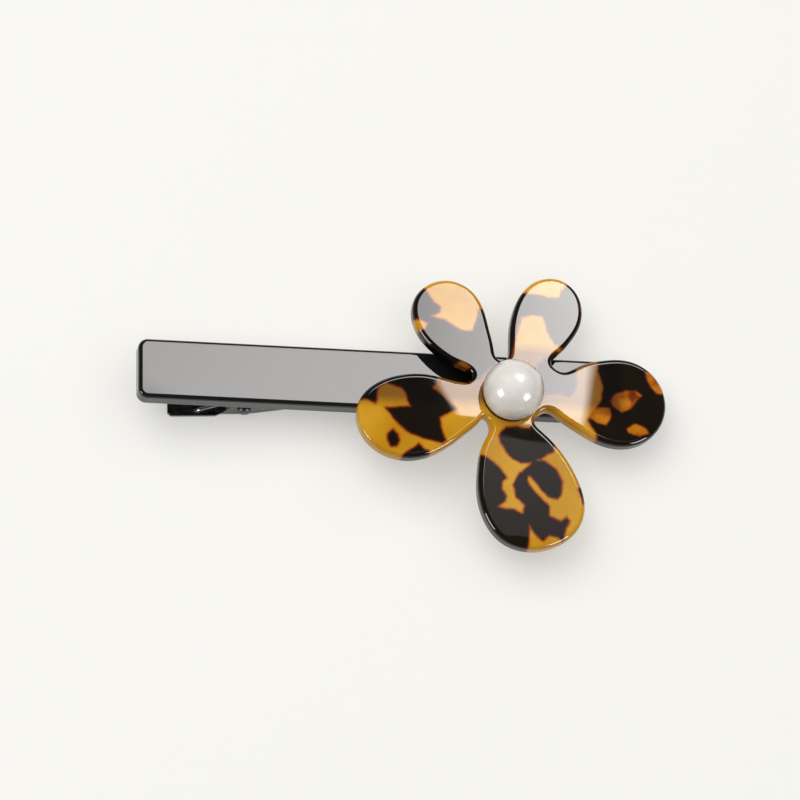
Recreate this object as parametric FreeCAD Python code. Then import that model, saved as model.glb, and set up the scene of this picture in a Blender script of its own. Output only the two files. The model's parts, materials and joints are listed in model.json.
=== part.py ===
"""Flower hair clip: an acetate bar with a pearl-centred acetate flower, on a sprung steel clip.

Millimetres. The model is drawn in the bar's frame: X runs along the bar from the press-tab end to the
flower end, Y across it, Z up from the bar's underside. The last step moves everything so that the origin
is under the middle of the whole clip, level with its lowest point.
"""
import os

import FreeCAD, Part
from FreeCAD import Vector
from math import cos, radians, sin, tan

# Bar: a slab of black acetate with rounded edges.
BAR_LENGTH = 80.0
BAR_WIDTH = 10.2
BAR_THICKNESS = 3.5
BAR_CORNER_RADIUS = 1.6
BAR_EDGE_RADIUS = 0.68

# Flower: one heat-formed sheet, slightly domed, stood off the bar on a spacer.
HUB = Vector(60.8, -3.3, 0)
FLOWER_THICKNESS = 2.8
FLOWER_EDGE_RADIUS = 0.85
FLOWER_STANDOFF = 2.1
DOME_RADIUS = 166.0
RIM_MIN_LENGTH = 50.0
SEAT_RADIUS = 5.2
SEAT_RIM = 0.3
SEAT_DEPTH = 2.0
SPACER_LENGTH = 9.0
SPACER_WIDTH = 8.2
SPACER_CORNER_RADIUS = 2.0

# Pearl: a sphere with a flat glued base, drilled for its post.
PEARL_RADIUS = 5.0
PEARL_CENTRE_ABOVE_PETALS = 2.3
POST_RADIUS = 0.6
POST_DEPTH_IN_PEARL = 4.0
POST_DEPTH_IN_BAR = 2.4

# Sheet steel of the clip, and its pivot.
SHEET = 0.6
PIVOT_X = 18.4
PIVOT_Z = -2.75
PIN_RADIUS = 0.8
PIN_CLEARANCE = 0.06
PIN_HEAD_RADIUS = 1.1
PIN_CROWN_RADIUS = 0.6
PIN_HALF_LENGTH = 5.0

# Base plate, glued and riveted under the bar.
PLATE_START = 6.0
PLATE_END = 74.0
PLATE_HALF_WIDTH = 3.4
PLATE_SLIM_HALF_WIDTH = 2.4
PLATE_SLIM_START = 28.0
PLATE_CORNER_RADIUS = 1.2
EAR_RADIUS = 1.6
RIVET_STATIONS = (10.0, 38.0, 67.0)
RIVET_RADIUS = 0.6
RIVET_HEAD_RADIUS = 1.1
RIVET_DEPTH = 2.0

# Lever: press tab, pivot flanges and jaw, bent from one sheet.
TAB_START = 6.2
TAB_SLOPE = 9.0
TAB_HALF_WIDTH = 4.6
TAB_END = 14.0
WEB_INNER_RADIUS = 1.85
JAW_SLOPE = 28.0
JAW_GAP = 0.3
JAW_END = 75.6
JAW_HALF_WIDTH = 3.3
JAW_TIP_HALF_WIDTH = 2.7
JAW_TIP_CHAMFER = 0.7
FLANGE_OUTER = 4.2
FLANGE_RADIUS = 2.4
FLANGE_START = 15.0
FLANGE_END = 28.0
LEVER_DEPTH = 10.0
TOOTH_PITCH = 2.0
TOOTH_HEIGHT = 0.5
TOOTH_START = 31.0
TOOTH_COUNT = 20
TOOTH_CLEARANCE = 0.2

# Torsion spring, coiled round the pin between the base plate's ears.
WIRE = 0.6
WIRE_CLEARANCE = 0.03
COIL_RADIUS = 1.25
COIL_TURNS = 6.5
COIL_PITCH = 0.62
LEG_ON_TAB_END = Vector(10.6, -3.9, 0)
LEG_ON_PLATE_END = 10.5

# Flower outline round the hub, anticlockwise, notch first and then the petal that follows it.
LEFT_PETAL = [
    (-6.3, 3.2), (-6.9, 2.2), (-8.1, 2.0), (-10.6, 2.5), (-14.0, 3.2), (-18.0, 3.0), (-22.0, 1.5),
    (-24.7, -1.3), (-25.1, -4.9), (-23.3, -8.5), (-19.8, -10.8), (-15.6, -11.2), (-10.6, -9.2),
    (-6.9, -6.3), (-5.1, -4.6),
]
LOWER_PETAL = [
    (-4.3, -3.9), (-3.6, -4.7), (-4.5, -8.3), (-5.4, -12.4), (-5.5, -16.8), (-4.4, -20.8), (-1.5, -24.4),
    (3.0, -25.8), (7.7, -24.8), (11.2, -22.1), (12.4, -18.6), (11.4, -14.1), (8.7, -9.5), (5.2, -5.9),
    (4.0, -4.4),
]
RIGHT_PETAL = [
    (4.7, -3.1), (6.3, -2.3), (8.6, -3.5), (11.0, -5.0), (14.2, -6.7), (18.4, -7.6), (22.3, -6.7),
    (25.3, -4.2), (26.8, -0.2), (26.1, 3.5), (23.7, 6.3), (20.0, 7.6), (15.9, 7.2), (11.8, 5.8),
    (8.6, 4.7),
]
UPPER_RIGHT_PETAL = [
    (7.2, 6.0), (8.6, 7.9), (10.6, 10.1), (12.3, 12.9), (12.9, 16.0), (12.0, 19.2), (9.2, 21.3),
    (5.8, 21.0), (3.1, 18.9), (1.3, 15.6), (0.4, 11.6), (0.2, 8.2), (-0.3, 6.4),
]
UPPER_LEFT_PETAL = [
    (-1.1, 5.9), (-2.0, 6.4), (-2.5, 8.2), (-3.1, 11.4), (-4.0, 15.3), (-6.2, 18.7), (-9.6, 20.1),
    (-13.0, 19.2), (-15.3, 16.7), (-15.7, 13.1), (-14.4, 9.8), (-12.1, 7.2), (-8.9, 5.1), (-7.0, 4.2),
]
FLOWER_OUTLINE = LEFT_PETAL + LOWER_PETAL + RIGHT_PETAL + UPPER_RIGHT_PETAL + UPPER_LEFT_PETAL

# Levels that follow from the sizes above.
FLOWER_UNDERSIDE = BAR_THICKNESS + FLOWER_STANDOFF
FLOWER_TOP = FLOWER_UNDERSIDE + FLOWER_THICKNESS
SEAT_FLOOR = FLOWER_TOP - SEAT_DEPTH
PEARL_CENTRE = HUB + Vector(0, 0, FLOWER_TOP + PEARL_CENTRE_ABOVE_PETALS)
PIVOT = Vector(PIVOT_X, 0, PIVOT_Z)
JAW_TOP = -SHEET - JAW_GAP
JAW_MIDDLE = JAW_TOP - SHEET / 2

SAME = 1e-6


def cylinder_z(radius, x, y, low, high):
    return Part.makeCylinder(radius, high - low, Vector(x, y, low))


def cylinder_y(radius, centre, low, high):
    return Part.makeCylinder(radius, high - low, Vector(centre.x, low, centre.z), Vector(0, 1, 0))


def prism_xy(points, low, high):
    """Solid between two levels over a polygon of (x, y) points."""
    wire = Part.makePolygon([Vector(x, y, low) for x, y in points + points[:1]])
    return Part.Face(wire).extrude(Vector(0, 0, high - low))


def prism_xz(points, low, high):
    """Solid between two Y stations over a polygon of (x, z) points."""
    wire = Part.makePolygon([Vector(x, low, z) for x, z in points + points[:1]])
    return Part.Face(wire).extrude(Vector(0, high - low, 0))


def horizontal_edges(solid, level):
    return [e for e in solid.Edges if all(abs(v.Point.z - level) < SAME for v in e.Vertexes)]


def vertical_edges(solid):
    return [e for e in solid.Edges if abs(e.tangentAt(e.FirstParameter).z) > 0.999]


def edges_at_x(solid, x):
    return [e for e in vertical_edges(solid) if abs(e.CenterOfMass.x - x) < SAME]


def mirrored(shape):
    return shape.mirror(Vector(0, 0, 0), Vector(0, 1, 0))


def make_bar():
    """Rounded slab with blind holes for the pearl's post and the plate's rivets."""
    bar = Part.makeBox(BAR_LENGTH, BAR_WIDTH, BAR_THICKNESS, Vector(0, -BAR_WIDTH / 2, 0))
    bar = bar.makeFillet(BAR_CORNER_RADIUS, vertical_edges(bar))
    rims = horizontal_edges(bar, 0) + horizontal_edges(bar, BAR_THICKNESS)
    bar = bar.makeFillet(BAR_EDGE_RADIUS, rims)
    bar = bar.cut(cylinder_z(POST_RADIUS, HUB.x, HUB.y, BAR_THICKNESS - POST_DEPTH_IN_BAR, BAR_THICKNESS))
    for x in RIVET_STATIONS:
        bar = bar.cut(cylinder_z(RIVET_RADIUS, x, 0, 0, RIVET_DEPTH))
    return bar


def dome(level):
    """Sphere whose top is at a level over the hub, concentric with the flower's own surfaces.

    Its axis lies along X and its seam is turned underneath, so neither crosses the flower.
    """
    centre = HUB + Vector(0, 0, FLOWER_UNDERSIDE - DOME_RADIUS)
    ball = Part.makeSphere(level - centre.z, centre, Vector(1, 0, 0))
    ball.rotate(centre, Vector(1, 0, 0), 180)
    return ball


def flower_blank():
    curve = Part.BSplineCurve()
    curve.interpolate([HUB + Vector(x, y, 0) for x, y in FLOWER_OUTLINE], PeriodicFlag=True)
    prism = Part.Face(Part.Wire(curve.toShape())).extrude(Vector(0, 0, 2 * FLOWER_TOP))
    return prism.common(dome(FLOWER_TOP)).cut(dome(FLOWER_UNDERSIDE))


def pearl_seat():
    """Cutter for the round recess that the pearl sits in, with a rim that flares at the top."""
    profile = [
        (0, SEAT_FLOOR), (SEAT_RADIUS - SEAT_RIM, SEAT_FLOOR), (SEAT_RADIUS, FLOWER_TOP - SEAT_RIM),
        (SEAT_RADIUS + 2 * SEAT_RIM, FLOWER_TOP + SEAT_RIM), (0, FLOWER_TOP + SEAT_RIM),
    ]
    wire = Part.makePolygon([HUB + Vector(x, 0, z) for x, z in profile + profile[:1]])
    return Part.Face(wire).revolve(HUB, Vector(0, 0, 1), 360)


def make_flower():
    blank = flower_blank()
    rims = [e for e in blank.Edges if e.Length > RIM_MIN_LENGTH]
    flower = blank.makeFillet(FLOWER_EDGE_RADIUS, rims)
    flower = flower.cut(pearl_seat())
    return flower.cut(cylinder_z(POST_RADIUS, HUB.x, HUB.y, 0, FLOWER_TOP))


def make_spacer():
    """Pad between bar and flower; its top follows the flower's domed underside."""
    middle_y = -BAR_WIDTH / 2 + BAR_EDGE_RADIUS + SPACER_WIDTH / 2
    corner = Vector(HUB.x - SPACER_LENGTH / 2, middle_y - SPACER_WIDTH / 2, BAR_THICKNESS)
    pad = Part.makeBox(SPACER_LENGTH, SPACER_WIDTH, 2 * FLOWER_STANDOFF, corner)
    pad = pad.makeFillet(SPACER_CORNER_RADIUS, vertical_edges(pad))
    pad = pad.common(dome(FLOWER_UNDERSIDE))
    return pad.cut(cylinder_z(POST_RADIUS, HUB.x, HUB.y, 0, FLOWER_TOP))


def make_pearl():
    ball = Part.makeSphere(PEARL_RADIUS, PEARL_CENTRE)
    below = cylinder_z(2 * PEARL_RADIUS, HUB.x, HUB.y, 0, SEAT_FLOOR)
    drilling = cylinder_z(POST_RADIUS, HUB.x, HUB.y, 0, SEAT_FLOOR + POST_DEPTH_IN_PEARL)
    return ball.cut(below).cut(drilling)


def make_post():
    """Pin that runs from inside the pearl through the flower and spacer into the bar."""
    foot = BAR_THICKNESS - POST_DEPTH_IN_BAR
    return cylinder_z(POST_RADIUS, HUB.x, HUB.y, foot, SEAT_FLOOR + POST_DEPTH_IN_PEARL)


def base_ear():
    """One ear of the base plate: a tongue that hangs down round the pin."""
    inner = PLATE_HALF_WIDTH - SHEET
    tongue = prism_xz(
        [
            (PIVOT_X - EAR_RADIUS, PIVOT_Z), (PIVOT_X + EAR_RADIUS, PIVOT_Z),
            (PIVOT_X + 2 * EAR_RADIUS, 0), (PIVOT_X - 2 * EAR_RADIUS, 0),
        ],
        inner,
        PLATE_HALF_WIDTH,
    )
    return tongue.fuse(cylinder_y(EAR_RADIUS, PIVOT, inner, PLATE_HALF_WIDTH))


def rivet(x):
    """Countersunk rivet, flush with the plate's underside."""
    head = Part.makeCone(RIVET_HEAD_RADIUS, RIVET_RADIUS, SHEET, Vector(x, 0, -SHEET))
    return head.fuse(cylinder_z(RIVET_RADIUS, x, 0, 0, RIVET_DEPTH)).removeSplitter()


def make_base_plate():
    wide, slim = PLATE_HALF_WIDTH, PLATE_SLIM_HALF_WIDTH
    neck = PLATE_SLIM_START - 2 * (wide - slim)
    half = [(PLATE_START, 0), (PLATE_START, wide), (neck, wide), (PLATE_SLIM_START, slim), (PLATE_END, slim)]
    outline = half + [(x, -y) for x, y in reversed(half[1:])]
    plate = prism_xy(outline, -SHEET, 0)
    plate = plate.makeFillet(PLATE_CORNER_RADIUS, vertical_edges(plate))
    ear = base_ear()
    plate = plate.fuse([ear, mirrored(ear)]).removeSplitter()
    plate = plate.cut(cylinder_y(PIN_RADIUS, PIVOT, -wide, wide))
    for x in RIVET_STATIONS:
        plate = plate.cut(rivet(x))
    return plate


def under_pin(radius, slope):
    """Point under the pin where a line with this slope, in degrees, touches a circle round the pin."""
    angle = radians(slope)
    return PIVOT + Vector(sin(angle), 0, -cos(angle)) * radius


def tab_level(x, radius):
    """Level of the tab at a station, on the line that touches a circle round the pin."""
    foot = under_pin(radius, TAB_SLOPE)
    return foot.z - (foot.x - x) * tan(radians(TAB_SLOPE))


def web_profile():
    """Upper side of the lever's sheet: tab, bend under the pivot, rise, and level jaw."""
    tab_end = Vector(TAB_START, 0, tab_level(TAB_START, WEB_INNER_RADIUS))
    tab_foot = under_pin(WEB_INNER_RADIUS, TAB_SLOPE)
    bend = under_pin(WEB_INNER_RADIUS, (TAB_SLOPE + JAW_SLOPE) / 2)
    rise_foot = under_pin(WEB_INNER_RADIUS, JAW_SLOPE)
    rise = JAW_TOP - rise_foot.z
    knee = rise_foot + Vector(rise / tan(radians(JAW_SLOPE)), 0, rise)
    return Part.Wire([
        Part.LineSegment(tab_end, tab_foot).toShape(),
        Part.Arc(tab_foot, bend, rise_foot).toShape(),
        Part.LineSegment(rise_foot, knee).toShape(),
        Part.LineSegment(knee, Vector(JAW_END, 0, JAW_TOP)).toShape(),
    ])


def lever_web():
    """The bent sheet, full width, before it is trimmed to its plan outline."""
    path = web_profile()
    strip = path.makeOffset2D(SHEET, fill=True, openResult=True)
    if strip.CenterOfMass.z > path.CenterOfMass.z:
        strip = path.makeOffset2D(-SHEET, fill=True, openResult=True)
    strip.translate(Vector(0, -TAB_HALF_WIDTH, 0))
    return strip.extrude(Vector(0, 2 * TAB_HALF_WIDTH, 0))


def lever_plan():
    """Plan outline of the lever, as a tall prism."""
    half = [
        (TAB_START, TAB_HALF_WIDTH), (TAB_END, TAB_HALF_WIDTH), (FLANGE_START, FLANGE_OUTER),
        (FLANGE_END, FLANGE_OUTER), (TOOTH_START - TOOTH_PITCH, JAW_HALF_WIDTH),
        (JAW_END - JAW_TIP_HALF_WIDTH, JAW_TIP_HALF_WIDTH + SHEET / 2), (JAW_END, JAW_TIP_HALF_WIDTH),
    ]
    outline = half + [(x, -y) for x, y in reversed(half)]
    prism = prism_xy(outline, -LEVER_DEPTH, 0)
    prism = prism.makeChamfer(JAW_TIP_CHAMFER, edges_at_x(prism, JAW_END))
    return prism.makeChamfer(SHEET, edges_at_x(prism, TAB_START))


def lever_flange():
    """Side wall that carries the pin, from the root of the tab to the start of the jaw."""
    inner = FLANGE_OUTER - SHEET
    rise = radians(JAW_SLOPE)
    sheet_middle = WEB_INNER_RADIUS + SHEET / 2
    tab_foot = under_pin(sheet_middle, TAB_SLOPE)
    rise_foot = under_pin(sheet_middle, JAW_SLOPE)
    crown = PIVOT_Z + FLANGE_RADIUS
    wall = prism_xz(
        [
            (FLANGE_START, tab_level(FLANGE_START, sheet_middle)), (tab_foot.x, tab_foot.z),
            (rise_foot.x, rise_foot.z), (FLANGE_END - 2 * FLANGE_RADIUS * sin(rise), JAW_MIDDLE),
            (FLANGE_END, JAW_MIDDLE), (FLANGE_END - FLANGE_RADIUS, crown), (PIVOT_X, crown),
            (PIVOT_X - FLANGE_RADIUS * cos(rise), PIVOT_Z + FLANGE_RADIUS * sin(rise)),
        ],
        inner,
        FLANGE_OUTER,
    )
    return wall.fuse(cylinder_y(FLANGE_RADIUS, PIVOT, inner, FLANGE_OUTER))


def jaw_teeth():
    """Rows of small teeth along both edges of the jaw; they straddle the base plate."""
    inner = PLATE_SLIM_HALF_WIDTH + TOOTH_CLEARANCE
    teeth = []
    for i in range(TOOTH_COUNT):
        x = TOOTH_START + i * TOOTH_PITCH
        outline = [
            (x, JAW_MIDDLE), (x + TOOTH_PITCH, JAW_MIDDLE),
            (x + TOOTH_PITCH, JAW_TOP), (x + TOOTH_PITCH / 2, JAW_TOP + TOOTH_HEIGHT), (x, JAW_TOP),
        ]
        tooth = prism_xz(outline, inner, inner + SHEET / 2)
        teeth += [tooth, mirrored(tooth)]
    return teeth


def make_lever():
    lever = lever_web().common(lever_plan())
    flange = lever_flange()
    lever = lever.fuse([flange, mirrored(flange)] + jaw_teeth()).removeSplitter()
    hole = cylinder_y(PIN_RADIUS + PIN_CLEARANCE, PIVOT, -FLANGE_OUTER, FLANGE_OUTER)
    return lever.cut(hole)


def make_pin():
    """Pivot pin, peened over to a low domed head at each end."""
    shank = cylinder_y(PIN_RADIUS, PIVOT, -FLANGE_OUTER, FLANGE_OUTER)
    seat = FLANGE_OUTER + PIN_CLEARANCE
    head = cylinder_y(PIN_HEAD_RADIUS, PIVOT, seat, PIN_HALF_LENGTH)
    crown = max(head.Edges, key=lambda e: e.CenterOfMass.y)
    head = head.makeFillet(PIN_CROWN_RADIUS, [crown])
    neck = cylinder_y(PIN_RADIUS, PIVOT, 0, seat)
    return shank.fuse([head, mirrored(head), neck, mirrored(neck)]).removeSplitter()


def wire_leg(coil_end, end):
    """Straight leg with a rounded tip; it starts a little way inside the coil's own wire."""
    start = coil_end + Vector(WIRE / 2, 0, 0)
    leg = Part.makeCylinder(WIRE / 2, (end - start).Length, start, end - start)
    return leg.fuse(Part.makeSphere(WIRE / 2, end))


def make_spring():
    """Closed coil round the pin, with one leg on the tab and the other under the base plate."""
    half = COIL_TURNS * COIL_PITCH / 2
    helix = Part.makeHelix(COIL_PITCH, 2 * half, COIL_RADIUS, 0, True)
    section = Part.Wire(Part.makeCircle(WIRE / 2, Vector(COIL_RADIUS, 0, 0), Vector(0, 1, 0)))
    coil = Part.Wire(helix).makePipeShell([section], True, True)
    coil.rotate(Vector(0, 0, 0), Vector(0, 0, 1), 90)
    coil.rotate(Vector(0, 0, 0), Vector(1, 0, 0), -90)
    coil.translate(PIVOT - Vector(0, half, 0))
    rest = WIRE / 2 + WIRE_CLEARANCE
    tab_end = LEG_ON_TAB_END + Vector(0, 0, tab_level(LEG_ON_TAB_END.x, WEB_INNER_RADIUS) + rest)
    plate_end = Vector(LEG_ON_PLATE_END, half, -SHEET - rest)
    tab_leg = wire_leg(PIVOT - Vector(0, half, COIL_RADIUS), tab_end)
    plate_leg = wire_leg(PIVOT + Vector(0, half, COIL_RADIUS), plate_end)
    return coil.fuse([tab_leg, plate_leg])


def main():
    os.makedirs("parts", exist_ok=True)
    nodes = {
        "acetate_bar": make_bar(),
        "flower": make_flower(),
        "flower_spacer": make_spacer(),
        "pearl": make_pearl(),
        "pearl_post": make_post(),
        "base_plate": make_base_plate(),
        "plate_rivets": Part.makeCompound([rivet(x) for x in RIVET_STATIONS]),
        "lever": make_lever(),
        "pivot_pin": make_pin(),
        "torsion_spring": make_spring(),
    }
    box = Part.makeCompound(list(nodes.values())).optimalBoundingBox(False)
    shift = Vector(-box.Center.x, -box.Center.y, -box.ZMin)
    for name, shape in nodes.items():
        shape.translate(shift)
        print(name, shape.isValid(), len(shape.Solids), round(shape.Volume, 2))
        shape.exportStep(f"parts/{name}.step")
    print("shift", shift, box)


main()
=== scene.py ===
import json
from math import cos, pi, radians, sin, tan

import bpy
import numpy as np
from mathutils import Matrix, Vector, geometry

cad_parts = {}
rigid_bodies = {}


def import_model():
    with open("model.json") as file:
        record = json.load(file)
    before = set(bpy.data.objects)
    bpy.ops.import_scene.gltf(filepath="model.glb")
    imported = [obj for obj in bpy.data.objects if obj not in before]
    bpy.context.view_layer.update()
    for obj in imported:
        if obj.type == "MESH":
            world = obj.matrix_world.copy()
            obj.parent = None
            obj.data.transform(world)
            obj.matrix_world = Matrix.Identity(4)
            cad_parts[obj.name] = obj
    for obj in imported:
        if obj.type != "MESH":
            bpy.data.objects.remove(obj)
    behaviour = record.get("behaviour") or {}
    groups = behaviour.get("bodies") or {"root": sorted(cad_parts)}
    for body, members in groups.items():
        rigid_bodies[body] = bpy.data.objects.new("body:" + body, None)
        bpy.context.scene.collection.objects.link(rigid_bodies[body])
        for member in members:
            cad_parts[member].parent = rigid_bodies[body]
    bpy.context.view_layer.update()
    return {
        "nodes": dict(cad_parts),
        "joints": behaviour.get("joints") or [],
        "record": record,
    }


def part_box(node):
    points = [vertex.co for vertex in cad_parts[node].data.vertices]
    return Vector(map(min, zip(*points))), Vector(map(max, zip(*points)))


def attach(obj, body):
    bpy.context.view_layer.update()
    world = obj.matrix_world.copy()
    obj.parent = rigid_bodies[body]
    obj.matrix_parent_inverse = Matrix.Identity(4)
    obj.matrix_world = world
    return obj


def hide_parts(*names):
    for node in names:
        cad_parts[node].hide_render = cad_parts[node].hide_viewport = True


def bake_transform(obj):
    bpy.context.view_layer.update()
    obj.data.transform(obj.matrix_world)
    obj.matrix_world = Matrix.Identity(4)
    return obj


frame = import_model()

MM = 0.001

# Levels and places, in the row frame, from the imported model.
BAR_LOW, BAR_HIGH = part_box("acetate_bar")
PEARL_LOW, PEARL_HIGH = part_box("pearl")
HUB = Vector(((PEARL_LOW.x + PEARL_HIGH.x) / 2, (PEARL_LOW.y + PEARL_HIGH.y) / 2, 0))
PIVOT = Vector(frame["joints"][0]["pos_m"])
CLIP_BODY = frame["joints"][0]["parent"]

# Bar.
BAR_CORNER_RADIUS = 1.6 * MM
BAR_EDGE_RADIUS = 0.68 * MM
BAR_CROWN = 0.01 * MM

# Flower: one domed sheet on a spacer.
FLOWER_THICKNESS = 2.8 * MM
FLOWER_UNDERSIDE = BAR_HIGH.z + 2.1 * MM
FLOWER_EDGE_RADIUS = 0.85 * MM
DOME_RADIUS = 166 * MM
SEAT_RADIUS = 4.65 * MM
SEAT_RIM = 0.15 * MM
SEAT_LAND = 0.06 * MM
SEAT_DEPTH = 2.0 * MM

# Pearl.
PEARL_RADIUS = 5.0 * MM

# Spring.
WIRE_RADIUS = 0.3 * MM
COIL_RADIUS = 1.25 * MM
COIL_TURNS = 6.5
COIL_PITCH = 0.62 * MM

# The flower's outline round the hub, anticlockwise, in millimetres, petal by petal as in the CAD.
OUTLINE = [
    (-6.3, 3.2), (-6.9, 2.2), (-8.1, 2.0), (-10.6, 2.5), (-14.0, 3.2), (-18.0, 3.0), (-22.0, 1.5),
    (-24.7, -1.3), (-25.1, -4.9), (-23.3, -8.5), (-19.8, -10.8), (-15.6, -11.2), (-10.6, -9.2),
    (-6.9, -6.3), (-5.1, -4.6),
    (-4.3, -3.9), (-3.6, -4.7), (-4.5, -8.3), (-5.4, -12.4), (-5.5, -16.8), (-4.4, -20.8), (-1.5, -24.4),
    (3.0, -25.8), (7.7, -24.8), (11.2, -22.1), (12.4, -18.6), (11.4, -14.1), (8.7, -9.5), (5.2, -5.9),
    (4.0, -4.4),
    (4.7, -3.1), (6.3, -2.3), (8.6, -3.5), (11.0, -5.0), (14.2, -6.7), (18.4, -7.6), (22.3, -6.7),
    (25.3, -4.2), (26.8, -0.2), (26.1, 3.5), (23.7, 6.3), (20.0, 7.6), (15.9, 7.2), (11.8, 5.8),
    (8.6, 4.7),
    (7.2, 6.0), (8.6, 7.9), (10.6, 10.1), (12.3, 12.9), (12.9, 16.0), (12.0, 19.2), (9.2, 21.3),
    (5.8, 21.0), (3.1, 18.9), (1.3, 15.6), (0.4, 11.6), (0.2, 8.2), (-0.3, 6.4),
    (-1.1, 5.9), (-2.0, 6.4), (-2.5, 8.2), (-3.1, 11.4), (-4.0, 15.3), (-6.2, 18.7), (-9.6, 20.1),
    (-13.0, 19.2), (-15.3, 16.7), (-15.7, 13.1), (-14.4, 9.8), (-12.1, 7.2), (-8.9, 5.1), (-7.0, 4.2),
]

# Dark flakes of the tortoiseshell sheet, round the hub in millimetres, and amber windows within them.
FLAKES = [
    # left petal
    [(-22.2, -2.3), (-23.7, -1.5), (-26, -1.5), (-25, 1), (-23, 3), (-19.5, 4.5), (-15, 4.5), (-12, 4),
     (-12, 2), (-13, 0.6), (-12, -0.1), (-10.7, -1.3), (-9, -2.9), (-10.4, -3.8), (-11.8, -4.5),
     (-11.5, -6.4), (-10.8, -8.3), (-11.5, -8.9), (-13.4, -8.4), (-15.3, -7.9), (-17.2, -7), (-18.7, -5.8),
     (-19.7, -4.4), (-21, -2.8), (-19, -2.8), (-16.6, -2.6), (-17.2, -1.5), (-17.4, -0.4), (-18, 0.4),
     (-19.4, 1), (-20.6, 1.4), (-21.7, 0.4), (-22, -1.3)],
    [(-19.5, -6.4), (-18.6, -7.3), (-18.4, -8.5), (-19, -9.5), (-20, -9.5), (-20.5, -8.4), (-20.5, -7.2)],
    [(-17.4, -10.3), (-16.3, -9.6), (-15.3, -8.7), (-14.4, -9.6), (-13.3, -10.1), (-13.5, -11.5),
     (-15, -13), (-17, -13), (-18.5, -12)],
    # lower petal
    [(-1.9, -6.5), (-0.9, -5.7), (1, -5.5), (3.1, -5.6), (4, -4), (5, -4.5), (7.4, -7.3), (7.1, -9.5),
     (6, -10), (5, -10.9), (3.4, -11.5), (1.5, -11.8), (0, -11), (-1.1, -9.9), (-1.9, -8.5), (-2.1, -7.5)],
    [(3.4, -11), (5.6, -11), (7.6, -12.5), (8.5, -14.4), (8.4, -16.7), (7.6, -17.4), (6.1, -17.1),
     (4.9, -16.2), (3.9, -14.8), (2.9, -13.8), (1.6, -13.9), (1.8, -12.9), (3, -12)],
    [(1.4, -13.2), (2.7, -13.4), (2.6, -14.6), (3.6, -15.9), (5, -17.4), (6.2, -18.6), (6.1, -20.2),
     (8.2, -20.9), (9.2, -20.1), (9.9, -20.8), (9, -22.3), (8.6, -24.2), (7.5, -23.7), (6.3, -23.4),
     (5.2, -24.4), (4, -23.4), (2.9, -22), (2.7, -24.5), (2.9, -28), (-1, -27.5), (-4.5, -25.5),
     (-7, -21.5), (-7.5, -16.5), (-7, -12.5), (-5.4, -10.3), (-4, -10.9), (-2.4, -12.3), (-0.6, -14.3),
     (-1.5, -15), (-1.7, -16.2), (-0.9, -17.3), (-1.1, -18.1), (-2.4, -19.1), (-1, -19.4), (0.4, -19.5),
     (1.7, -20), (2, -18.8), (1.2, -17.9), (0.6, -17.5), (0.4, -16.1), (0, -15.3), (0.6, -14.2)],
    [(11.1, -15.4), (12.5, -15), (13.1, -18), (12, -18)],
    # right petal
    [(8, 8), (11, 6.6), (11.4, 4.6), (11.1, 2), (10.1, 0), (8, 0.6), (6, 0.3), (4.5, -0.8), (4.5, 2.5),
     (4.5, 5.5)],
    [(15.3, 8.7), (20.5, 9.5), (24.5, 8.5), (28, 6), (29, -0.5), (27, -6.5), (22, -9.5), (17.5, -9),
     (14.8, -8), (14.4, -6), (12.9, -3.7), (14.4, -1.6), (15.4, -0.1), (15.6, 2.5), (15.1, 5)],
    # upper left petal
    [(-10, 22), (-18.5, 16), (-17.5, 10), (-13.5, 5), (-9, 2.4), (-7, 1.5), (-5, 2.5), (-3.5, 4.6),
     (-1, 4.4), (0, 6.5), (-1.5, 10), (-2, 14), (-3, 18), (-6, 22)],
    # upper right petal
    [(-0.6, 5.5), (-1, 9.5), (0, 15), (3, 19.5), (7.5, 22.5), (11.5, 21.8), (14, 17.5), (13.8, 13),
     (11.5, 9.4), (9, 8.6), (8, 9.2), (7.1, 10.2), (6.4, 11.6), (5.9, 14), (4.4, 14.2), (2.4, 13.7),
     (1.6, 11.5), (0.9, 8.6), (0.4, 6.5)],
]
WINDOWS = [
    # upper left petal
    [(-14.6, 20), (-12.6, 16.2), (-11.3, 15), (-11.6, 14), (-12.7, 13.4), (-12, 13), (-10.5, 12.7),
     (-9.2, 11.8), (-8, 11), (-6, 11), (-5.4, 12.9), (-4.9, 14.8), (-2.5, 15), (-3.5, 18.5), (-6.5, 21),
     (-10, 22), (-13, 21.2)],
    [(-17.5, 13), (-14.7, 12.7), (-13.5, 12), (-13.9, 11.1), (-15.5, 10.4), (-17, 11.5)],
    [(-9.2, 5), (-8, 5.4), (-6.6, 4.5), (-7.4, 3.9), (-9, 4.2)],
    # upper right petal
    [(2.4, 18.4), (3.6, 20.7), (7, 22.3), (10, 22), (10.6, 20.3), (9.5, 19), (9, 17.6), (7.2, 17.7),
     (5.5, 18), (4, 18.2)],
    [(12.6, 16.6), (14, 17), (14, 15.4), (12.6, 15.6)],
]
# Windows where the sheet is only half cleared, so that brown shows through them.
STAINED = [
    [(23.4, 5.6), (25, 6), (26.5, 4), (27.6, 2.2), (25.3, 2.2), (24.2, 3.3), (23.6, 4.5)],
    [(13.4, -2.2), (15, -1.4), (16.8, -1.2), (17, -2.6), (16.1, -4.1), (14.6, -3.9), (13.5, -3.2)],
    [(16.9, 0), (18, 1.3), (19.6, 1.9), (21.5, 2.1), (22.4, 1.4), (21.5, 0.4), (20.5, -1), (19, -1.7),
     (17.4, -0.9)],
    [(19.9, -4.6), (21.1, -3.7), (23, -4.3), (23.4, -5), (21.9, -5.6), (20, -5.2)],
]
STAINED_CLEARNESS = 0.05

# Table: tilted and pale, under the clip, with a little light of its own to keep the shadows soft.
TABLE_HALF_SIZE = 1.2
BACKDROP = (0.94, 0.932, 0.895, 1)
TABLE_ALBEDO = 0.55
TABLE_GLOW = 0.45

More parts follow.
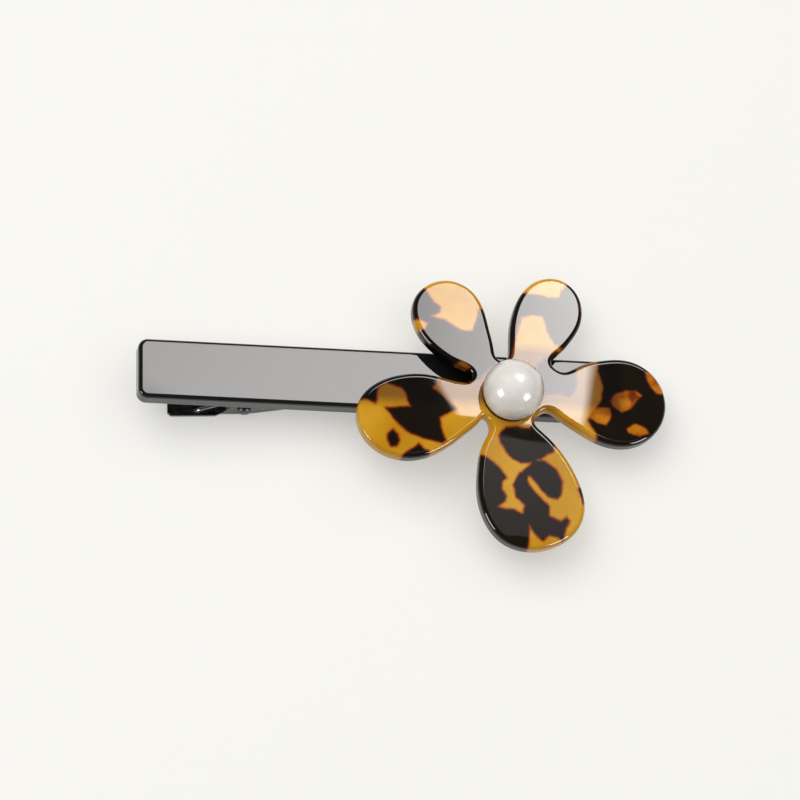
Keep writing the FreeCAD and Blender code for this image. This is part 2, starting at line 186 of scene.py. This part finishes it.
# Lights, all at one distance from the bar under the pearl. Their places are angles from the zenith in
# degrees, towards +X and +Y. Each panel has its corners and the glow at each corner.
LIGHT_DISTANCE = 0.9
PANELS = {
    "overhead": ([(4.9, 16.1), (22.6, 15.2), (30.5, 40), (-8.5, 40)], [10.5, 14, 17, 3.5]),
    "ceiling": ([(3, 0), (23, 0), (22, 13.5), (6, 13.5)], [0.7, 0.7, 1.0, 1.0]),
}
# Softboxes: name, angle towards +X, angle towards +Y, size in metres, strength, highlights only.
SOFTBOXES = [
    ("front_left", -68.6, -47.3, 0.34, 14.0, True),
    ("front_right", 52.3, -48.9, 0.34, 14.0, True),
    ("fill_top", 0, 5, 1.5, 1.75, False),
    ("fill_left", -35, 20, 0.8, 2.2, False),
]
SKY_COLOUR = (1.0, 0.992, 0.975, 1)
SKY_STRENGTH = 0.13

# Camera.
CAMERA_TOWARDS = (-0.189, -0.329, 0.925)
CAMERA_RIGHT = (0.981, -0.017, 0.194)
CAMERA_AIM = Vector((-0.76, 1.57, 11.76)) * MM
CAMERA_DISTANCE = 0.8
CAMERA_LENS = 219.7


# ---------------------------------------------------------------- shader helpers

def new_material(name):
    material = bpy.data.materials.new(name)
    material.use_nodes = True
    tree = material.node_tree
    shader = tree.nodes["Principled BSDF"]
    return material, tree, shader


def node(tree, kind, inputs=None, **settings):
    """A shader node; inputs maps socket names to values or to other nodes' output sockets."""
    made = tree.nodes.new(kind)
    for key, value in settings.items():
        setattr(made, key, value)
    for key, value in (inputs or {}).items():
        if isinstance(value, bpy.types.NodeSocket):
            tree.links.new(value, made.inputs[key])
        else:
            made.inputs[key].default_value = value
    return made


def object_coordinates(tree):
    return node(tree, "ShaderNodeTexCoord").outputs["Object"]


def noise(tree, scale, detail=3.0, roughness=0.5, at=None):
    made = node(tree, "ShaderNodeTexNoise", {"Scale": scale, "Detail": detail, "Roughness": roughness})
    tree.links.new(at or object_coordinates(tree), made.inputs["Vector"])
    return made.outputs["Fac"]


def remap(tree, value, low, high, to_low, to_high):
    inputs = {"Value": value, "From Min": low, "From Max": high, "To Min": to_low, "To Max": to_high}
    return node(tree, "ShaderNodeMapRange", inputs).outputs["Result"]


def math(tree, operation, a, b):
    return node(tree, "ShaderNodeMath", {0: a, 1: b}, operation=operation).outputs[0]


def ramp(tree, value, stops):
    made = node(tree, "ShaderNodeValToRGB", {"Fac": value})
    elements = made.color_ramp.elements
    while len(elements) < len(stops):
        elements.new(0.5)
    for element, (position, colour) in zip(elements, stops):
        element.position = position
        element.color = (*colour, 1)
    return made.outputs["Color"]


def mix(tree, factor, a, b):
    made = node(tree, "ShaderNodeMix", data_type="RGBA")
    for index, value in ((0, factor), (6, a), (7, b)):
        if isinstance(value, bpy.types.NodeSocket):
            tree.links.new(value, made.inputs[index])
        else:
            made.inputs[index].default_value = value
    return made.outputs[2]


def bump(tree, shader, height, distance, strength=1.0):
    made = node(tree, "ShaderNodeBump", {"Height": height, "Distance": distance, "Strength": strength})
    tree.links.new(made.outputs["Normal"], shader.inputs["Normal"])


def scratches(tree, scale, stretch):
    """Fine scratches, as noise drawn out along X."""
    mapped = node(
        tree, "ShaderNodeMapping", {"Vector": object_coordinates(tree), "Scale": (1 / stretch, 1, 1)}
    )
    return noise(tree, scale, detail=2.0, at=mapped.outputs["Vector"])


# ---------------------------------------------------------------- materials

def acetate_surface(tree, shader, roughness):
    """Polish of an acetate part: slight waves, faint haze and a few fine scratches."""
    haze = remap(tree, noise(tree, 220.0), 0.35, 0.75, roughness * 0.7, roughness * 1.6)
    fine = remap(tree, scratches(tree, 5200.0, 14.0), 0.66, 0.78, 0.0, 0.05)
    tree.links.new(math(tree, "ADD", haze, fine), shader.inputs["Roughness"])
    waves = noise(tree, 75.0, detail=1.0)
    bump(tree, shader, waves, 0.00004)
    shader.inputs["IOR"].default_value = 1.5


def black_acetate():
    material, tree, shader = new_material("black_acetate")
    cloud = noise(tree, 130.0, detail=4.0)
    colour = ramp(tree, cloud, [(0.3, (0.004, 0.004, 0.0045)), (0.8, (0.009, 0.009, 0.010))])
    tree.links.new(colour, shader.inputs["Base Color"])
    acetate_surface(tree, shader, 0.035)
    return material


def tortoise_pattern(tree):
    """0 in clear amber to 1 in the dark flakes, with ragged, slightly stained borders."""
    flake = node(tree, "ShaderNodeAttribute", attribute_name="flake").outputs["Fac"]
    ragged = remap(tree, noise(tree, 1500.0, detail=4.0, roughness=0.6), 0.0, 1.0, -0.1, 0.1)
    broad = remap(tree, noise(tree, 330.0, detail=2.0), 0.0, 1.0, -0.4, 0.4)
    warped = math(tree, "ADD", math(tree, "ADD", flake, ragged), broad)
    return remap(tree, warped, -0.9, 0.9, 0.0, 1.0)


def tortoiseshell():
    material, tree, shader = new_material("tortoiseshell")
    pattern = tortoise_pattern(tree)
    depth = noise(tree, 95.0, detail=3.0)
    amber = ramp(tree, depth, [
        (0.3, (0.50, 0.225, 0.004)), (0.5, (0.60, 0.30, 0.012)), (0.75, (0.70, 0.37, 0.025)),
    ])
    # Painted shade: the amber is darkened where the sheet lies over the black bar, in place of the bar
    # seen through it.
    shade = node(tree, "ShaderNodeAttribute", attribute_name="painted_bar_shade").outputs["Fac"]
    amber = mix(tree, shade, amber, (0.23, 0.095, 0.010, 1))
    stain = ramp(tree, pattern, [
        (0.30, (1.0, 1.0, 1.0)), (0.44, (0.85, 0.50, 0.35)), (0.54, (0.35, 0.10, 0.08)),
        (0.64, (0.04, 0.022, 0.03)), (0.75, (0.012, 0.011, 0.013)),
    ])
    colour = node(tree, "ShaderNodeMix", data_type="RGBA", blend_type="MULTIPLY")
    colour.inputs[0].default_value = 1
    tree.links.new(amber, colour.inputs[6])
    tree.links.new(stain, colour.inputs[7])
    tree.links.new(colour.outputs[2], shader.inputs["Base Color"])
    acetate_surface(tree, shader, 0.03)
    return material


def pearl_material():
    material, tree, shader = new_material("pearl")
    clouds = noise(tree, 330.0, detail=3.0)
    colour = ramp(tree, clouds, [(0.3, (0.78, 0.74, 0.68)), (0.7, (0.86, 0.825, 0.775))])
    tree.links.new(colour, shader.inputs["Base Color"])
    tree.links.new(remap(tree, noise(tree, 800.0), 0.3, 0.7, 0.2, 0.3), shader.inputs["Roughness"])
    shader.inputs["Coat Weight"].default_value = 0.7
    shader.inputs["Coat Roughness"].default_value = 0.09
    shader.inputs["Sheen Weight"].default_value = 0.12
    bump(tree, shader, noise(tree, 1500.0, detail=3.0), 0.00001)
    return material


def plated_steel(name, dark, light, roughness, stretch=6.0):
    """Plated or drawn steel: brushed along its length, with dull patches and worn streaks."""
    material, tree, shader = new_material(name)
    brushed = scratches(tree, 3000.0, stretch)
    patches = noise(tree, 420.0, detail=4.0)
    colour = mix(tree, remap(tree, brushed, 0.35, 0.7, 0.0, 1.0), (*dark, 1), (*light, 1))
    tree.links.new(colour, shader.inputs["Base Color"])
    shader.inputs["Metallic"].default_value = 1
    spread = remap(tree, patches, 0.3, 0.7, roughness * 0.75, roughness * 1.4)
    tree.links.new(spread, shader.inputs["Roughness"])
    bump(tree, shader, brushed, 0.000004)
    return material


def table_material():
    material, tree, shader = new_material("pale_table")
    cloud = noise(tree, 6.0, detail=2.0)
    lit = [TABLE_ALBEDO * c for c in BACKDROP[:3]]
    colour = ramp(tree, cloud, [(0.3, tuple(0.99 * c for c in lit)), (0.7, tuple(lit))])
    tree.links.new(colour, shader.inputs["Base Color"])
    shader.inputs["Emission Color"].default_value = BACKDROP
    shader.inputs["Emission Strength"].default_value = TABLE_GLOW
    shader.inputs["Roughness"].default_value = 1
    shader.inputs["Specular IOR Level"].default_value = 0
    return material


# ---------------------------------------------------------------- mesh helpers

def mesh_object(name, vertices, faces, normals=None):
    mesh = bpy.data.meshes.new(name)
    mesh.from_pydata([tuple(v) for v in vertices], [], [tuple(f) for f in faces])
    mesh.validate()
    mesh.shade_smooth()
    if normals is not None:
        mesh.normals_split_custom_set_from_vertices([tuple(n) for n in normals])
    made = bpy.data.objects.new(name, mesh)
    bpy.context.scene.collection.objects.link(made)
    return made


def dress(piece, material, slot, body, *nodes):
    """Gives a new piece its material and body, and lets it stand for CAD nodes."""
    piece.data.materials.append(material)
    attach(piece, body)
    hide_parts(*nodes)


def ring_faces(first, second, count):
    """Quads between two closed rings of vertices that start at these numbers."""
    return [
        (first + i, first + (i + 1) % count, second + (i + 1) % count, second + i) for i in range(count)
    ]


def spline_segments(points):
    """Chord lengths and second derivatives of the smooth closed curve through the points."""
    step = np.linalg.norm(np.roll(points, -1, 0) - points, axis=1)
    count = len(points)
    system = np.zeros((count, count))
    right = np.zeros((count, 2))
    for i in range(count):
        after = (i + 1) % count
        system[i, i - 1] += step[i - 1]
        system[i, i] += 2 * (step[i - 1] + step[i])
        system[i, after] += step[i]
        right[i] = 6 * ((points[after] - points[i]) / step[i] - (points[i] - points[i - 1]) / step[i - 1])
    return step, np.linalg.solve(system, right)


def closed_spline(points, spacing):
    """Points at an even spacing along the smooth closed curve through the given ones."""
    points = np.array(points, float)
    step, bend = spline_segments(points)
    fine = []
    share = np.linspace(0, 1, 40, endpoint=False)[:, None]
    for i in range(len(points)):
        after = (i + 1) % len(points)
        a, b, h = 1 - share, share, step[i]
        run = a * points[i] + b * points[after]
        fine.append(run + ((a**3 - a) * bend[i] + (b**3 - b) * bend[after]) * h * h / 6)
    fine = np.vstack(fine + [points[:1]])
    along = np.concatenate([[0], np.cumsum(np.linalg.norm(np.diff(fine, axis=0), axis=1))])
    wanted = np.linspace(0, along[-1], int(along[-1] / spacing), endpoint=False)
    return np.column_stack([np.interp(wanted, along, fine[:, k]) for k in (0, 1)])


def outward(ring):
    """Unit normals that point out of a closed anticlockwise ring."""
    along = np.roll(ring, -1, 0) - np.roll(ring, 1, 0)
    along /= np.linalg.norm(along, axis=1)[:, None]
    return np.column_stack([along[:, 1], -along[:, 0]])


def inside_distance(points, polygon):
    """Signed distance to a polygon's border, positive inside."""
    a = np.array(polygon, float)
    b = np.roll(a, -1, 0)
    edge = b - a
    best = np.full(len(points), np.inf)
    crossings = np.zeros(len(points), int)
    for start, end, run in zip(a, b, edge):
        rel = points - start
        share = np.clip(rel @ run / (run @ run), 0, 1)
        best = np.minimum(best, np.linalg.norm(rel - share[:, None] * run, axis=1))
        if start[1] != end[1]:
            span = (points[:, 1] > start[1]) != (points[:, 1] > end[1])
            at_x = start[0] + (points[:, 1] - start[1]) * run[0] / run[1]
            crossings += span & (points[:, 0] < at_x)
    return np.where(crossings % 2 == 1, best, -best)


def fill_plane(outer, holes, spacing):
    """Plan triangles over the ground between closed rings: (points, triangles)."""
    rings = [outer] + holes
    low, high = outer.min(0), outer.max(0)
    xs = np.arange(low[0], high[0], spacing)
    ys = np.arange(low[1], high[1], spacing * 0.866)
    grid = np.array([(x + (j % 2) * spacing / 2, y) for j, y in enumerate(ys) for x in xs])
    room = inside_distance(grid, outer)
    for hole in holes:
        room = np.minimum(room, -inside_distance(grid, hole))
    points = np.vstack(rings + [grid[room > 0.55 * spacing]])
    edges, start = [], 0
    for ring in rings:
        edges += [(start + i, start + (i + 1) % len(ring)) for i in range(len(ring))]
        start += len(ring)
    flat = [Vector(p) / MM for p in points]
    filled = geometry.delaunay_2d_cdt(flat, edges, [], 0, 1e-5, True)
    source = [ids[0] for ids in filled[3]]
    triangles = np.array([[source[v] for v in face] for face in filled[2]])
    middles = points[triangles].mean(1)
    keep = inside_distance(middles, outer) > 0
    for hole in holes:
        keep &= inside_distance(middles, hole) < 0
    return points, triangles[keep]


# ---------------------------------------------------------------- bar

def rounded_rectangle(half_x, half_y, radius, steps=14):
    """Closed anticlockwise ring; the corners keep their point count at any radius."""
    ring = []
    for k, (sx, sy) in enumerate(((1, -1), (1, 1), (-1, 1), (-1, -1))):
        for i in range(steps + 1):
            angle = radians(-90 + 90 * k + 90 * i / steps)
            ring.append((
                sx * (half_x - radius) + radius * cos(angle), sy * (half_y - radius) + radius * sin(angle)
            ))
    return np.array(ring)


def make_bar():
    """Slab with rounded edges; its top bulges very slightly, as moulded and polished acetate does."""
    half = (BAR_HIGH - BAR_LOW) / 2
    middle = (BAR_HIGH + BAR_LOW) / 2
    rim = BAR_EDGE_RADIUS
    levels = [(rim * (1 - cos(a)), half.z - rim + rim * sin(a)) for a in np.linspace(0, pi / 2, 9)]
    levels = [(inset, -z) for inset, z in reversed(levels)] + levels
    vertices = []
    for inset, z in levels:
        ring = rounded_rectangle(half.x - inset, half.y - inset, BAR_CORNER_RADIUS - inset)
        vertices += [(x, y, z) for x, y in ring]
    count = len(ring)
    faces = []
    for k in range(len(levels) - 1):
        faces += ring_faces(k * count, (k + 1) * count, count)
    normals = [Vector((*n, 0)) for n in outward(ring)]
    turned = []
    for k, (inset, _) in enumerate(levels):
        lift = 1 - inset / rim
        up = -1 if k < len(levels) / 2 else 1
        slope = np.sqrt(max(0, 1 - lift * lift))
        turned += [(n * lift + Vector((0, 0, up * slope))).normalized() for n in normals]
    points, triangles = fill_plane(ring, [], 1.2 * MM)
    for side in (-1, 1):
        start = len(vertices)
        flat_y = half.y - rim
        rise = [BAR_CROWN * (1 - (y / flat_y) ** 2) * (side > 0) for _, y in points]
        lean = [2 * BAR_CROWN * y / flat_y**2 * (side > 0) for _, y in points]
        vertices += [(x, y, side * half.z - BAR_CROWN * (side > 0) + h) for (x, y), h in zip(points, rise)]
        turned += [Vector((0, slant, side)).normalized() for slant in lean]
        order = 1 if side > 0 else -1
        faces += [tuple(int(v) + start for v in t[::order]) for t in triangles]
    vertices = [Vector(v) + middle for v in vertices]
    piece = mesh_object("bar", vertices, faces, turned)
    dress(piece, black_acetate(), "black_acetate", CLIP_BODY, "acetate_bar")


# ---------------------------------------------------------------- flower

def dome_level(points, level):
    """Height of a domed surface that reaches a level over the hub."""
    radius = DOME_RADIUS + level - FLOWER_UNDERSIDE
    return level - radius + np.sqrt(radius**2 - (points**2).sum(1))


def rim_radii(ring):
    """The rim's rounding at each outline point; it tightens where a notch comes close to the seat."""
    room = np.linalg.norm(ring, axis=1) - SEAT_RADIUS - SEAT_RIM - SEAT_LAND
    radii = np.minimum(room, FLOWER_EDGE_RADIUS)
    near = range(-5, 6)
    least = np.min([np.roll(radii, k) for k in near], axis=0)
    return np.mean([np.roll(least, k) for k in near], axis=0)


def flower_rim(ring, out):
    """Rings of the rounded rim from the underside round to the top: (plan points, heights, normals)."""
    top = FLOWER_UNDERSIDE + FLOWER_THICKNESS
    rim = rim_radii(ring)
    lean = np.arcsin((ring * out).sum(1) / DOME_RADIUS)
    rows = []
    for side, level in ((-1, FLOWER_UNDERSIDE), (1, top)):
        tangent = ring - out * (rim * (1 - side * np.sin(lean)))[:, None]
        centre = dome_level(tangent, level) - side * rim * np.cos(lean)
        for share in np.linspace(1, 0, 12) if side < 0 else np.linspace(0, 1, 12):
            turn = share * (pi / 2 - side * lean)
            plan = ring - out * (rim * (1 - np.cos(turn)))[:, None]
            normal = np.column_stack([out * np.cos(turn)[:, None], side * np.sin(turn)])
            rows.append((plan, centre + side * rim * np.sin(turn), normal))
    return rows


def seat_ring(radius, count=160):
    turn = np.linspace(0, 2 * pi, count, endpoint=False)
    return radius * np.column_stack([np.cos(turn), np.sin(turn)])


def dome_normals(points, side):
    normal = np.column_stack([points / DOME_RADIUS, np.ones(len(points))])
    return side * normal / np.linalg.norm(normal, axis=1)[:, None]


def seat_rows(top):
    """Flared rim, wall and floor edge of the pearl's seat: (radius, height, normal's outward share)."""
    rows = []
    for share in np.linspace(0, 1, 7):
        turn = share * pi / 2
        radius = SEAT_RADIUS + SEAT_RIM * (1 - sin(turn))
        rows.append((radius, top - SEAT_RIM * (1 - cos(turn)), -sin(turn), cos(turn)))
    rows.append((SEAT_RADIUS - SEAT_RIM, top - SEAT_DEPTH, -1, 0))
    return rows


def flower_surface():
    """Vertices round the hub, faces and normals of the whole flower."""
    ring = closed_spline(np.array(OUTLINE) * MM, 0.22 * MM)
    out = outward(ring)
    count = len(ring)
    rows = flower_rim(ring, out)
    vertices = [np.column_stack([plan, height]) for plan, height, _ in rows]
    normals = [normal for _, _, normal in rows]
    faces = []
    for k in range(len(rows) - 1):
        faces += ring_faces(k * count, (k + 1) * count, count)
    top = FLOWER_UNDERSIDE + FLOWER_THICKNESS
    mouth = seat_ring(SEAT_RADIUS + SEAT_RIM)
    for side, level, holes in ((1, top, [mouth]), (-1, FLOWER_UNDERSIDE, [])):
        start = sum(len(v) for v in vertices)
        points, triangles = fill_plane(rows[-1 if side > 0 else 0][0], holes, 0.3 * MM)
        vertices.append(np.column_stack([points, dome_level(points, level)]))
        normals.append(dome_normals(points, side))
        faces += [tuple(int(v) + start for v in t[::side]) for t in triangles]
    start = sum(len(v) for v in vertices)
    mouth_top = float(dome_level(mouth, top)[0])
    seat = seat_rows(mouth_top)
    for k, (radius, height, across, up) in enumerate(seat):
        plan = seat_ring(radius)
        vertices.append(np.column_stack([plan, np.full(len(plan), height)]))
        normals.append(np.column_stack([plan / radius * across, np.full(len(plan), up)]))
        if k:
            faces += ring_faces(start + (k - 1) * len(plan), start + k * len(plan), len(plan))
    floor_start = start + (len(seat) - 1) * len(plan)
    faces.append(tuple(range(floor_start, floor_start + len(plan))))
    return np.vstack(vertices), faces, np.vstack(normals)


def flake_depth(points):
    """How far inside the dark flakes each plan point lies, in millimetres; negative in the amber."""
    depth = np.max([inside_distance(points, flake) for flake in FLAKES], axis=0)
    opened = np.max([inside_distance(points, clear) for clear in WINDOWS], axis=0)
    stained = np.max([inside_distance(points, clear) for clear in STAINED], axis=0)
    return np.minimum(depth, -np.maximum(opened, np.minimum(stained, STAINED_CLEARNESS)))


def painted_bar_shade(points):
    """1 where the sheet lies over the black bar; the shader paints a darker amber there, as painted shade
    in place of the bar seen through the sheet.
    """
    half = (BAR_HIGH - BAR_LOW) / 2
    middle = (BAR_HIGH + BAR_LOW) / 2 - HUB
    soft = 1.0 * MM
    inside = half.y - np.abs(points[:, 1] - middle.y)
    inside = np.minimum(inside, half.x - np.abs(points[:, 0] - middle.x))
    return np.clip(inside / (2 * soft) + 0.5, 0, 1)


def add_values(mesh, name, values):
    layer = mesh.attributes.new(name, "FLOAT", "POINT")
    layer.data.foreach_set("value", np.asarray(values, np.float32))


def make_flower():
    vertices, faces, normals = flower_surface()
    placed = vertices + np.array((HUB.x, HUB.y, 0))
    piece = mesh_object("tortoiseshell_flower", placed, faces, normals)
    plan = vertices[:, :2]
    add_values(piece.data, "flake", flake_depth(plan / MM))
    add_values(piece.data, "painted_bar_shade", painted_bar_shade(plan))
    dress(piece, tortoiseshell(), "tortoiseshell", CLIP_BODY, "flower")


# ---------------------------------------------------------------- pearl, spring and the steel clip

def make_pearl():
    """Pearl bead with its flat glued base."""
    centre = Vector((HUB.x, HUB.y, PEARL_HIGH.z - PEARL_RADIUS))
    base = PEARL_LOW.z - centre.z
    steepest = np.arccos(base / PEARL_RADIUS)
    count = 128
    vertices = [centre + Vector((0, 0, PEARL_RADIUS))]
    for angle in np.linspace(0, steepest, 90)[1:]:
        for turn in np.linspace(0, 2 * pi, count, endpoint=False):
            spoke = Vector((sin(angle) * cos(turn), sin(angle) * sin(turn), cos(angle)))
            vertices.append(centre + PEARL_RADIUS * spoke)
    faces = [(0, 1 + i, 1 + (i + 1) % count) for i in range(count)]
    for k in range(88):
        faces += ring_faces(1 + (k + 1) * count, 1 + k * count, count)
    last = 1 + 88 * count
    faces.append(tuple(range(last + count - 1, last - 1, -1)))
    piece = mesh_object("pearl_bead", vertices, faces)
    dress(piece, pearl_material(), "pearl", CLIP_BODY, "pearl")


def spring_path():
    """The wire's centre line from the leg on the tab, round the pin, to the leg under the plate."""
    half = COIL_TURNS * COIL_PITCH / 2
    low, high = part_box("torsion_spring")
    tab_leg = Vector((low.x + WIRE_RADIUS, PIVOT.y - half - 1.9 * MM, low.z + WIRE_RADIUS))
    plate_leg = Vector((low.x + WIRE_RADIUS, PIVOT.y + half, high.z - WIRE_RADIUS))
    turns = []
    steps = int(COIL_TURNS * 32)
    for i in range(steps + 1):
        turn = 2 * pi * COIL_TURNS * i / steps
        turns.append(PIVOT + Vector((
            COIL_RADIUS * sin(turn), -half + COIL_PITCH * turn / (2 * pi), -COIL_RADIUS * cos(turn)
        )))
    start = [tab_leg.lerp(turns[0], share) for share in np.linspace(0, 0.92, 8)]
    end = [turns[-1].lerp(plate_leg, share) for share in np.linspace(0.08, 1, 8)]
    return start + turns + end


def tube(name, path, radius, sides=14):
    """Round wire swept along a path, with domed ends."""
    vertices, count = [], len(path)
    across = Vector((0, 1, 0))
    for i, point in enumerate(path):
        along = (path[min(i + 1, count - 1)] - path[max(i - 1, 0)]).normalized()
        across = (across - along * across.dot(along)).normalized()
        up = along.cross(across)
        for k in range(sides):
            turn = 2 * pi * k / sides
            vertices.append(point + radius * (across * cos(turn) + up * sin(turn)))
    faces = []
    for i in range(count - 1):
        faces += [f[::-1] for f in ring_faces(i * sides, (i + 1) * sides, sides)]
    for end, ring, sign in ((0, 0, -1), (count - 1, (count - 1) * sides, 1)):
        neighbour = path[1] if end == 0 else path[-2]
        tip = path[end] + (path[end] - neighbour).normalized() * radius * 0.6
        vertices.append(tip)
        order = [(ring + (k + 1) % sides, ring + k, len(vertices) - 1) for k in range(sides)]
        faces += [f[::-sign] for f in order]
    return mesh_object(name, vertices, faces)


def make_spring():
    piece = tube("spring_wire", spring_path(), WIRE_RADIUS)
    piece.data.materials.append(
        plated_steel("spring_wire", (0.42, 0.42, 0.44), (0.72, 0.72, 0.74), 0.22)
    )
    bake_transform(piece)
    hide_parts("torsion_spring")


def paint_steel():
    """The pressed steel parts keep their CAD shapes and get worn plated finishes."""
    gunmetal = plated_steel("gunmetal", (0.055, 0.056, 0.060), (0.13, 0.13, 0.138), 0.3)
    bright = plated_steel("bright_steel", (0.45, 0.45, 0.46), (0.68, 0.68, 0.70), 0.26)
    finishes = {
        "lever": gunmetal, "base_plate": gunmetal, "pivot_pin": gunmetal, "plate_rivets": bright,
        "pearl_post": bright,
    }
    for name, material in finishes.items():
        slots = frame["nodes"][name].data.materials
        for i in range(len(slots)):
            slots[i] = material
    spacer = frame["nodes"]["flower_spacer"].data.materials
    for i in range(len(spacer)):
        spacer[i] = bpy.data.materials["black_acetate"]


# ---------------------------------------------------------------- room

def make_table():
    """Pale table through the two edges that the clip lies on, the tab's tip and the jaw's tip."""
    lever_low, lever_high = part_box("lever")
    jaw_z = Vector(frame["record"]["mounts"][0]["pos_m"]).z
    rise = jaw_z / (lever_high.x - lever_low.x)
    size = TABLE_HALF_SIZE
    corners = [(-size, -size), (size, -size), (size, size), (-size, size)]
    vertices = [(x, y, rise * (x - lever_low.x)) for x, y in corners]
    table = mesh_object("table", vertices, [(0, 1, 2, 3)])
    table.data.materials.append(table_material())


def toward(across, along):
    """Unit direction at these angles from the zenith, towards +X and +Y."""
    return Vector((tan(radians(across)), tan(radians(along)), 1)).normalized()


def glow_material(name):
    """Light that varies over a panel as its "glow" values do."""
    material = bpy.data.materials.new(name)
    material.use_nodes = True
    tree = material.node_tree
    tree.nodes.clear()
    glow = node(tree, "ShaderNodeAttribute", attribute_name="glow").outputs["Fac"]
    emission = node(tree, "ShaderNodeEmission", {"Color": (1, 0.985, 0.965, 1), "Strength": glow})
    out = node(tree, "ShaderNodeOutputMaterial")
    tree.links.new(emission.outputs[0], out.inputs["Surface"])
    return material


def window(name, corners, glows, target, steps=16):
    """Softbox for highlights, fading at both ends; corners are angles from the target, anticlockwise."""
    corners, glows = np.array(corners, float), np.array(glows, float)
    vertices, values = [], []
    for v in np.linspace(0, 1, steps + 1):
        for u in np.linspace(0, 1, steps + 1):
            share = np.array([(1 - u) * (1 - v), u * (1 - v), u * v, (1 - u) * v])
            vertices.append(target + LIGHT_DISTANCE * toward(*(share @ corners)))
            values.append(share @ glows * min(1, u * steps, (1 - u) * steps))
    row = steps + 1
    faces = [
        (k, k + row, k + row + 1, k + 1)
        for k in range(steps * row) if (k + 1) % row
    ]
    panel = mesh_object(name, vertices, faces)
    add_values(panel.data, "glow", values)
    panel.data.materials.append(glow_material(name))
    panel.visible_camera = False
    panel.visible_diffuse = False


def softbox(name, across, along, size, strength, target, shine):
    """Square area light at these angles from the zenith; it gives either highlights or soft fill."""
    lamp = bpy.data.lights.new(name, "AREA")
    lamp.shape = "SQUARE"
    lamp.size = size
    lamp.energy = strength * pi * size * size * pi / 4
    made = bpy.data.objects.new(name, lamp)
    direction = toward(across, along)
    made.location = target + direction * LIGHT_DISTANCE
    made.rotation_euler = direction.to_track_quat("Z", "Y").to_euler()
    made.visible_diffuse = not shine
    made.visible_glossy = shine
    bpy.context.scene.collection.objects.link(made)


def make_lights():
    target = Vector((HUB.x, HUB.y, BAR_HIGH.z))
    for name, (corners, glows) in PANELS.items():
        window(name, corners, glows, target)
    for name, across, along, size, strength, shine in SOFTBOXES:
        softbox(name, across, along, size, strength, target, shine)
    world = bpy.data.worlds.new("studio")
    world.use_nodes = True
    background = world.node_tree.nodes["Background"]
    background.inputs["Color"].default_value = SKY_COLOUR
    background.inputs["Strength"].default_value = SKY_STRENGTH
    bpy.context.scene.world = world
    bpy.context.scene.view_settings.view_transform = "Standard"


def make_camera():
    """Camera over the front left, looking steeply down, far enough away to be nearly parallel."""
    towards = Vector(CAMERA_TOWARDS).normalized()
    right = Vector(CAMERA_RIGHT)
    right = (right - towards * right.dot(towards)).normalized()
    up = towards.cross(right)
    camera = bpy.data.cameras.new("camera")
    camera.lens = CAMERA_LENS
    made = bpy.data.objects.new("camera", camera)
    turn = Matrix((right, up, towards)).transposed().to_4x4()
    made.matrix_world = Matrix.Translation(CAMERA_AIM + towards * CAMERA_DISTANCE) @ turn
    bpy.context.scene.collection.objects.link(made)
    bpy.context.scene.camera = made


make_camera()
make_lights()
make_table()
make_bar()
make_flower()
make_pearl()
make_spring()
paint_steel()
